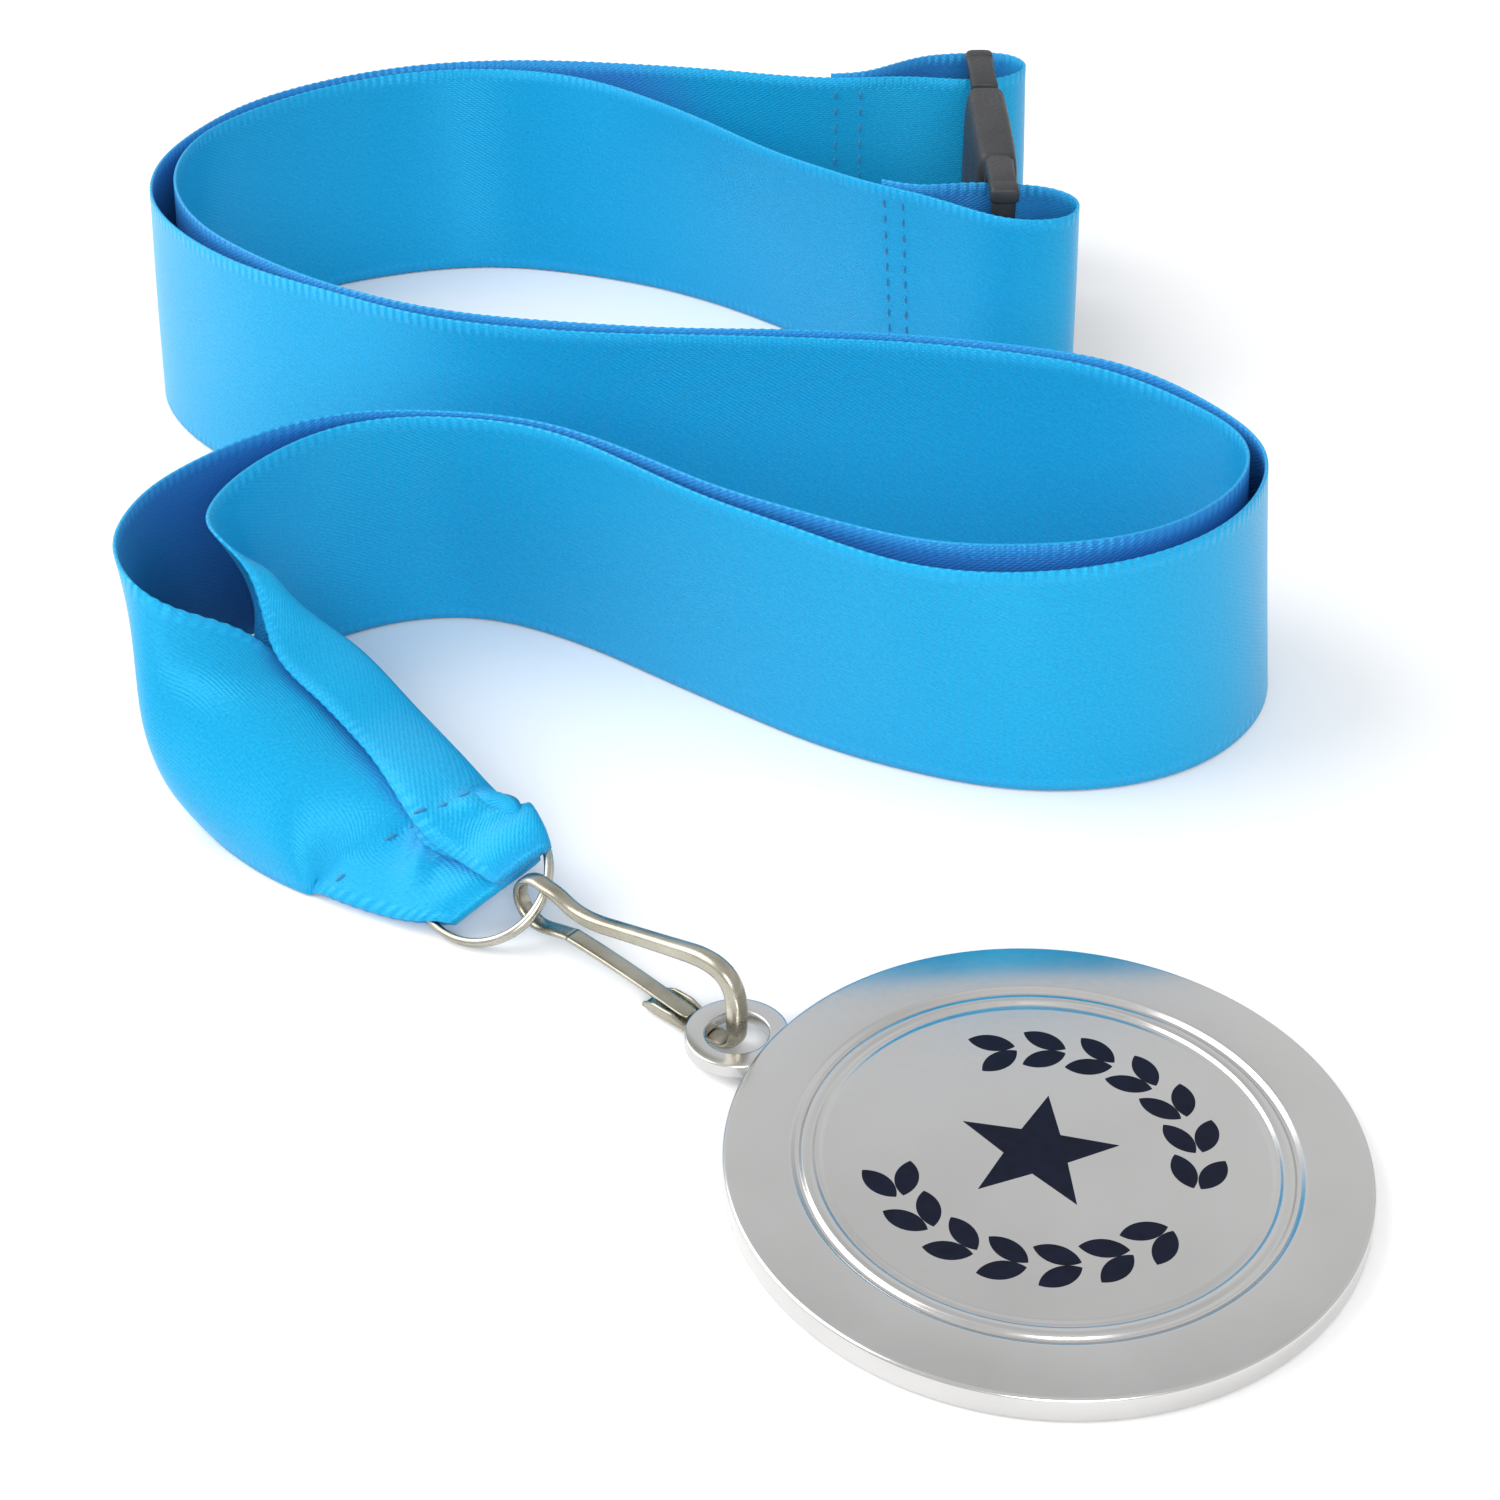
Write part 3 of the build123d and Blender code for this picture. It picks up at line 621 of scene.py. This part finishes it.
def gap_shade_amount(grid, normals, side):
    """How much painted shade this face gets from more cloth facing it: 1 where it is close, 0 where the face
    is in the open.
    """
    rows, cols = grid.shape[:2]
    quads = [(i * cols + j, (i + 1) * cols + j, (i + 1) * cols + j + 1, i * cols + j + 1)
             for i in range(rows - 1) for j in range(cols - 1)]
    tree = BVHTree.FromPolygons([tuple(p) for p in grid.reshape(-1, 3)], quads)
    inward = unit(np.gradient(grid, axis=1)) * np.linspace(1, -1, cols)[None, :, None]
    near = np.zeros((rows, cols))
    for tilt in (0.0, 0.35):
        rays = unit(normals * side + inward * tilt)
        starts = grid + rays * 0.6
        for i, j in np.ndindex(rows, cols):
            distance = tree.ray_cast(starts[i, j], rays[i, j], NO_SHADE_BEYOND)[3]
            if distance is not None:
                near[i, j] = max(near[i, j], (NO_SHADE_BEYOND - distance) / (NO_SHADE_BEYOND - FULL_SHADE_WITHIN))
    near = np.clip(near, 0, 1)
    kernel = np.ones(9) / 9             # a change is spread over some millimetres of the ribbon
    return np.stack([np.convolve(column, kernel, "same") for column in near.T], 1)


def cloth_mesh(grid, normals, places):
    """Points, faces and cloth coordinates of a closed sheet with slightly toothed selvedges."""
    rows = len(grid)
    tooth = np.where(np.arange(rows) % 2, 0.06, 0.16)[:, None]
    thick = normals * RIBBON_T / 2
    low = grid[:, 0] + unit(grid[:, 0] - grid[:, 1]) * tooth
    high = grid[:, -1] + unit(grid[:, -1] - grid[:, -2]) * tooth
    # round each section: front face, upper selvedge, back face, lower selvedge
    rings = np.concatenate([grid + thick, high[:, None], (grid - thick)[:, ::-1], low[:, None]], 1)
    size = rings.shape[1]
    across = SHARES * RIBBON_W
    v = np.concatenate([across, [RIBBON_W + 0.1], across[::-1], [-0.1]])
    faces, corners = [], []
    for i in range(rows - 1):
        for j in range(size):
            k = (j + 1) % size
            corner = ((i, j), (i + 1, j), (i + 1, k), (i, k))
            faces.append(tuple(a * size + b for a, b in corner))
            corners.extend((places[a], v[b]) for a, b in corner)
    for i, order in ((0, range(size)), (rows - 1, range(size)[::-1])):
        faces.append(tuple(i * size + j for j in order))
        corners.extend((places[i], v[j]) for j in order)
    return rings, faces, corners


def cloth_piece(name, grid, normals, gap_shade, places, material):
    """A length of ribbon that knows its cloth coordinates, with painted shade where more cloth faces it."""
    rings, faces, corners = cloth_mesh(grid, normals, places)
    rows, size = rings.shape[:2]
    piece = new_piece(name, rings.reshape(-1, 3), faces, material)
    last = (rows - 1) * size
    for edge in piece.data.edges:       # the cut ends stay crisp
        a, b = edge.vertices
        edge.use_edge_sharp = (a < size and b < size) or (a >= last and b >= last)
    front_gap_shade, back_gap_shade = gap_shade
    edge_gap_shade = np.zeros((rows, 1))
    all_gap_shade = np.concatenate([front_gap_shade, edge_gap_shade, back_gap_shade[:, ::-1], edge_gap_shade], 1)
    shade = piece.data.color_attributes.new("painted_gap_shade", "FLOAT_COLOR", "POINT")
    shade.data.foreach_set("color", np.repeat(all_gap_shade.reshape(-1, 1), 4, axis=1).astype(np.float32).ravel())
    uv = piece.data.uv_layers.new(name="cloth")
    uv.data.foreach_set("uv", np.array(corners, np.float32).ravel())
    return piece


STITCH_R, STITCH_LENGTH, STITCH_PITCH = 0.14, 1.25, 1.95
SEAM_ROWS = 6                           # rows of points from a seam's place to its last row of stitches


def add_stitch(points, faces, place, along, normal):
    """A short rounded stitch that dips into the cloth at both ends."""
    side = np.cross(normal, along)
    rings = []
    for t in np.linspace(-1, 1, 7):
        girth = STITCH_R * math.sqrt(max(0.06, 1 - abs(t) ** 3))
        centre = place + along * t * STITCH_LENGTH / 2 + normal * (0.10 - 0.16 * t * t)
        outline = rounded_outline(2 * girth, 2 * girth, 2, 8)
        rings.append([centre + side * x + normal * y for x, y in outline])
    add_tube(points, faces, rings)


def at_length(s, along, values):
    return np.array([np.interp(s, along, values[:, i]) for i in range(3)])


def add_stitch_row(points, faces, line, facing, share_from, share_to):
    """A row across the ribbon from one share of its width to another."""
    keep = (SHARES >= share_from) & (SHARES <= share_to)
    line, facing = (line + facing * RIBBON_T / 2)[keep], facing[keep]
    along = arc_lengths(line)
    count = max(1, int(along[-1] // STITCH_PITCH))
    for s in (np.arange(count) + 0.5) * along[-1] / count:
        way = unit(at_length(s + 0.3, along, line) - at_length(s - 0.3, along, line))
        add_stitch(points, faces, at_length(s, along, line), way, unit(at_length(s, along, facing)))


def build_threads(grid, normals, row_of, material):
    """The sewn rows: (row of points, side of the cloth, from share, to share) for each piece."""
    whole = (0.03, 0.97)
    seams = (
        ("thread_ring_end", "ring_end_stitching", "lanyard",
         [(row_of[SEWN_IN], 1, 0.05, 0.13), (row_of[SEWN_IN], 1, 0.30, 0.56),
          (row_of[SEWN_OUT], 1, 0.64, 1.0)]),
        ("thread_far_seam", "far_loop_stitching", "lanyard",
         [(row_of[FAR_SEAM], -1, *whole), (row_of[FAR_SEAM] + SEAM_ROWS, -1, *whole)]),
        ("thread_near_seam", "near_loop_stitching", "tongue_half",
         [(row_of[NEAR_SEAM] + 1, 1, *whole), (row_of[NEAR_SEAM] + SEAM_ROWS, 1, *whole)]),
    )
    pieces = []
    for name, node, body, rows in seams:
        points, faces = [], []
        for row, side, share_from, share_to in rows:
            add_stitch_row(points, faces, grid[row], normals[row] * side, share_from, share_to)
        pieces.append(new_piece(name, points, faces, material, body, [node]))
    return pieces


def build_ribbon():
    satin, thread = satin_material(), thread_material()
    grid, places, knots = ribbon_grid()
    row_of = np.searchsorted(places, knots)
    grid = grid + grid_normals(grid) * (soft_waves(places) + gathers(places, knots))[..., None]
    grid = drape_over_ring(grid, row_of[AT_WIRE])
    grid[..., 2] = np.maximum(grid[..., 2], 0.12)
    normals = grid_normals(grid)
    # painted shade for each face of the cloth, where more cloth faces it
    gap_shade = [gap_shade_amount(grid, normals, side) for side in (1, -1)]

    cut = row_of[SPLIT]
    parts = (("ribbon", slice(0, cut + 1)), ("ribbon_near_end", slice(cut, len(places))))
    main, near = [cloth_piece(name, grid[part], normals[part], [face[part] for face in gap_shade],
                              places[part], satin) for name, part in parts]
    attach(main, "lanyard")
    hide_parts("ribbon_outer_tail", "ribbon_ring_end", "ribbon_far_loop", "ribbon_inner_tail")
    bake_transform(near)
    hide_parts("ribbon_near_loop")
    ring_thread, far_thread, near_thread = build_threads(grid, normals, row_of, thread)


# ---- the ring and the snap hook ------------------------------------------------------------
WIRE_R, TURN_OFF = 0.29, 0.27            # the wire's own radius, and how far each turn is off the middle
RING_STEPS = 320


def build_ring(material):
    """A split ring: two turns of thin wire side by side, which cross over once."""
    reach = np.array((0.87, -0.43, -0.22))
    reach = unit(reach - RING_NORMAL * (reach @ RING_NORMAL))
    other = np.cross(RING_NORMAL, reach)
    centre = ring_centre()
    rings = []
    for k in range(RING_STEPS + 1):
        share = k / RING_STEPS
        a = 4 * math.pi * share + 2.2
        step_over = 1 / (1 + math.exp(-(share - 0.5) * 60))
        spoke = reach * math.cos(a) + other * math.sin(a)
        to_end = min(share, 1 - share) * RING_STEPS
        girth = WIRE_R * (0.55 + 0.45 * min(1.0, to_end / 3))
        middle = centre + spoke * RING_R + RING_NORMAL * (step_over - 0.5) * 2 * TURN_OFF
        outline = rounded_outline(2.35 * girth, 2 * girth, 2.4, 14)
        rings.append([middle + spoke * x + RING_NORMAL * y for x, y in outline])
    points, faces = [], []
    add_tube(points, faces, rings)
    new_piece("split_ring", points, faces, material, "ring", ["small_ring"])


LUG = np.array([-23.872, 14.344, 0.0])
HOOK_ALONG = np.array([math.cos(math.radians(139)), math.sin(math.radians(139)), 0.0])
HOOK_SIDE = np.array([-HOOK_ALONG[1], HOOK_ALONG[0], 0.0])


def hook_points(flat_points):
    """Points of the hook's upright plane: distance along the hook, height, and sideways."""
    return np.array([LUG + HOOK_ALONG * p[0] + HOOK_SIDE * (p[2] if len(p) > 2 else 0)
                     + np.array([0, 0, p[1]]) for p in flat_points])


EYE_ALONG, EYE_UP, EYE_R = 22.3, 3.75, 2.35


def hook_stops():
    """Stops (along, height, width, thickness): round the eye, over the back, down the nose, into the cup."""
    angles = [math.radians(a) for a in range(-104, 106, 19)]
    eye = [(EYE_ALONG + EYE_R * math.cos(a), EYE_UP + EYE_R * math.sin(a), 1.55, 0.72) for a in angles]
    return np.array([
        (18.65, 2.24, 1.66, 0.5), (20.2, 1.86, 1.62, 0.62), *eye,
        (20.2, 5.75, 1.5, 0.95), (18.6, 5.2, 1.42, 1.15), (16.6, 5.0, 1.4, 1.3),
        (13.5, 5.55, 1.42, 1.36), (9.5, 6.5, 1.46, 1.42), (5.8, 7.35, 1.54, 1.52),
        (3.0, 7.75, 1.62, 1.62), (1.2, 7.25, 1.64, 1.64), (0.25, 5.9, 1.64, 1.64),
        (0.0, 4.0, 1.62, 1.6), (0.0, 2.2, 1.66, 1.45), (0.12, 1.1, 1.78, 1.0),
        (0.7, 0.5, 1.9, 0.62), (2.0, 0.34, 1.9, 0.54), (3.6, 0.33, 1.95, 0.52),
        (4.9, 0.33, 2.1, 0.5),
    ])


def build_hook(material):
    stops = hook_stops()
    places = arc_lengths(stops[:, :2])
    fine = cubic(places, stops, np.linspace(0, places[-1], 260))
    points, faces = [], []
    add_tube(points, faces, swept_rings(hook_points(fine[:, :2]), HOOK_SIDE, fine[:, 2:4], 2.7, 22))
    add_cup(points, faces)
    new_piece("snap_hook", points, faces, material, "hook", ["hook_body"])


def build_gate(material):
    gate = np.array([(18.55, 2.24), (16.0, 2.12), (12.0, 1.78), (8.0, 1.3), (5.9, 1.02), (4.95, 0.95)])
    places = arc_lengths(gate)
    fine = cubic(places, gate, np.linspace(0, places[-1], 60))
    share = np.linspace(0, 1, 60)
    wide = 1.66 - 0.10 * share
    wide[-3:] *= (0.97, 0.9, 0.72)      # the tip is rounded off
    sizes = np.stack([wide, 0.5 - 0.06 * share], 1)
    points, faces = [], []
    add_tube(points, faces, swept_rings(hook_points(fine), HOOK_SIDE, sizes, 4.2, 22))
    new_piece("spring_gate", points, faces, material, "gate", ["hook_gate"])


def add_cup(points, faces):
    """The channel that the gate's tip rests in, with two low walls that flare towards its mouth."""
    rings = []
    for share in np.linspace(0, 1, 16):
        s = 4.3 + 5.0 * share
        wall = 1.28 * min(1.0, 0.45 + 1.6 * share) * (1 - 0.45 * max(0, share - 0.75) / 0.25)
        half = 1.32 + 0.14 * math.sin(share * math.pi)
        thick, floor = 0.34, 0.05
        outline = [(-half, wall), (-half - 0.02, 0.45), (-half + 0.22, 0.14), (-half + 0.55, floor),
                   (0, floor), (half - 0.55, floor), (half - 0.22, 0.14), (half + 0.02, 0.45),
                   (half, wall), (half - thick / 2, wall + 0.1), (half - thick, wall),
                   (half - thick, 0.72), (half - thick - 0.25, 0.56), (0, 0.55),
                   (-half + thick + 0.25, 0.56), (-half + thick, 0.72), (-half + thick, wall),
                   (-half + thick / 2, wall + 0.1)]
        rings.append(hook_points([(s, z, side) for side, z in outline]))
    add_tube(points, faces, rings)


# ---- the medal -----------------------------------------------------------------------------
MEDAL_STEPS, LUG_STEPS = 300, 120
ARC_POINTS = 6


def add_lathe(points, faces, centre, profile, steps, closed_profile):
    """Turns a profile of (radius, height) about an upright axis."""
    start, size = len(points), len(profile)
    for k in range(steps):
        a = 2 * math.pi * k / steps
        for r, z in profile:
            points.append((centre[0] + r * math.cos(a), centre[1] + r * math.sin(a), centre[2] + z))
    runs = size if closed_profile else size - 1
    for k in range(steps):
        m = (k + 1) % steps
        for j in range(runs):
            n = (j + 1) % size
            faces.append((start + k * size + j, start + m * size + j, start + m * size + n,
                          start + k * size + n))


def smooth_profile(points, rounds):
    """A profile with its corners rounded by short arcs."""
    out = [points[0]]
    for a, b, c, r in zip(points, points[1:], points[2:], rounds):
        a, b, c = (np.array(p, float) for p in (a, b, c))
        if r <= 0:
            out.append(tuple(b))
            continue
        into, away = unit(a - b) * r, unit(c - b) * r
        for t in np.linspace(0, 1, ARC_POINTS):
            out.append(tuple((1 - t) ** 2 * (b + into) + 2 * t * (1 - t) * b + t * t * (b + away)))
    out.append(points[-1])
    return out


def build_medal(material, ink):
    corners = [(0.02, 0.0), (25.0, 0.0), (25.0, 2.2), (19.75, 2.2), (19.35, 1.9), (19.1, 1.86),
               (18.85, 2.1), (18.45, 2.15), (18.05, 2.1), (17.8, 1.86), (17.5, 1.88), (17.2, 1.95),
               (0.02, 1.95)]
    rounds = [0.25, 0.38, 0.16, 0.07, 0.07, 0.10, 0.14, 0.10, 0.07, 0.08, 0.12]
    profile = smooth_profile(corners, rounds)
    size = len(profile)
    points, faces = [], []
    add_lathe(points, faces, (0, 0, 0), profile, MEDAL_STEPS, False)
    faces.append(tuple(k * size for k in reversed(range(MEDAL_STEPS))))
    faces.append(tuple(k * size + size - 1 for k in range(MEDAL_STEPS)))
    lug = smooth_profile([(2.6, 1.36), (2.6, 0.75), (4.3, 0.75), (4.3, 1.98), (2.6, 1.98), (2.6, 1.36)],
                         [0.14, 0.14, 0.24, 0.26])[:-1]
    add_lathe(points, faces, LUG, lug, LUG_STEPS, True)
    new_piece("medal", points, faces, material, "medal", ["medal_body"])
    for node in ("printed_star", "printed_wreath"):
        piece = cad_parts[node]
        piece.data.materials.clear()
        piece.data.materials.append(ink)


# ---- the buckle ----------------------------------------------------------------------------
def block_rings(axis, stops, power, count=28):
    """Rings along a row axis: each stop is (place on the axis, middle a, middle b, size a, size b)."""
    rings = []
    for at, mid_a, mid_b, size_a, size_b in stops:
        outline = rounded_outline(size_a, size_b, power, count)
        if axis == "y":
            rings.append([(mid_a + x, at, mid_b + z) for x, z in outline])
        else:
            rings.append([(mid_a + x, mid_b + z, at) for x, z in outline])
    return rings


def capped(stops, round_by=0.35):
    """The same stops with a small rounding added at both ends."""
    first, last = stops[0], stops[-1]
    sign = 1 if last[0] > first[0] else -1
    ends = []
    for stop, way in ((first, sign), (last, -sign)):
        at, a, b, size_a, size_b = stop
        ends.append([(at, a, b, size_a - 2 * round_by, size_b - 2 * round_by),
                     (at + way * round_by * 0.3, a, b, size_a - round_by * 0.6, size_b - round_by * 0.6),
                     (at + way * round_by, a, b, size_a, size_b)])
    return ends[0] + list(stops[1:-1]) + ends[1][::-1]


BUCKLE_X, BUCKLE_H = 5.0, 27.6
BUCKLE_MIDDLE = BUCKLE_H / 2


def centred(table, x=BUCKLE_X):
    """Stops at the buckle's half height, from a table of (place along y, thickness, height)."""
    return [(y, x, BUCKLE_MIDDLE, thick, tall) for y, thick, tall in table]


def add_open_end(points, faces, rail_places, bar_place):
    """The open end of a buckle half: two side rails, and the bar that the ribbon goes round."""
    start, waist, end = rail_places
    for z in (0.95, BUCKLE_H - 0.95):
        rail = [(start, BUCKLE_X, z, 3.2, 1.9), (waist, BUCKLE_X, z, 3.0, 1.8), (end, BUCKLE_X, z, 3.2, 1.9)]
        add_tube(points, faces, block_rings("y", capped(rail), 4.0))
    girths = ((0.0, 3.2, 2.6), (2.2, 2.7, 2.2), (13.8, 2.5, 2.1), (25.4, 2.7, 2.2), (27.6, 3.2, 2.6))
    bar = [(z, BUCKLE_X, bar_place, thick, wide) for z, thick, wide in girths]
    add_tube(points, faces, block_rings("z", capped(bar), 3.2))


def build_socket(material):
    shell = centred([(156.6, 3.2, 24.6), (155.2, 4.2, 26.6), (153.6, 4.9, 27.5), (146.0, 5.0, 27.6),
                     (139.0, 4.95, 27.5), (135.2, 4.7, 27.2), (134.3, 4.3, 26.8), (134.3, 2.7, 15.6),
                     (136.0, 2.5, 15.3), (145.6, 2.5, 15.3)])
    points, faces = [], []
    add_tube(points, faces, block_rings("y", shell, 7.0, 44))
    add_open_end(points, faces, (155.4, 160.0, 166.5), 165.2)
    for side in (-1, 1):                # a raised finger panel on each face
        panel = centred([(140.0, 0.5, 15.0), (147.0, 0.5, 17.0), (153.0, 0.5, 14.0)], BUCKLE_X + side * 2.25)
        add_tube(points, faces, block_rings("y", capped(panel, 0.2), 6.0))
    new_piece("buckle_socket", points, faces, material, "lanyard", ["buckle_female"])


def build_tongue(material):
    wall = centred([(132.8, 3.2, 27.6), (134.05, 3.2, 27.4)])
    points, faces = [], []
    add_tube(points, faces, block_rings("y", capped(wall, 0.25), 7.0, 44))
    add_open_end(points, faces, (124.3, 129.0, 133.4), 125.6)
    for side in (-1, 1):                # the two prongs of the tongue
        z = BUCKLE_MIDDLE + side * 4.25
        prong = [(133.6, BUCKLE_X, z, 2.0, 6.2), (138.0, BUCKLE_X, z, 2.0, 6.0),
                 (142.6, BUCKLE_X, z + side * 0.3, 2.2, 6.0), (145.0, BUCKLE_X, z, 1.6, 4.6)]
        add_tube(points, faces, block_rings("y", capped(prong), 4.0))
    new_piece("buckle_tongue", points, faces, material, "tongue_half", ["buckle_male"])


# ---- build it all --------------------------------------------------------------------------
add_camera()
add_studio()
add_floor()
build_ribbon()
hook_metal = metal_material("hook_nickel", (0.50, 0.475, 0.395), (0.33, 0.31, 0.245), (0.20, 0.38),
                            260, 2400, 0.25)
ring_metal = metal_material("ring_nickel", (0.54, 0.52, 0.46), (0.37, 0.35, 0.29), (0.18, 0.34),
                            260, 2400, 0.2)
medal_metal = metal_material("polished_nickel", (0.645, 0.64, 0.63), (0.60, 0.595, 0.585), (0.16, 0.26),
                             90, 1500, 0.05)
plastic = buckle_material()
build_ring(ring_metal)
build_hook(hook_metal)
build_gate(hook_metal)
build_medal(medal_metal, ink_material())
build_socket(plastic)
build_tongue(plastic)
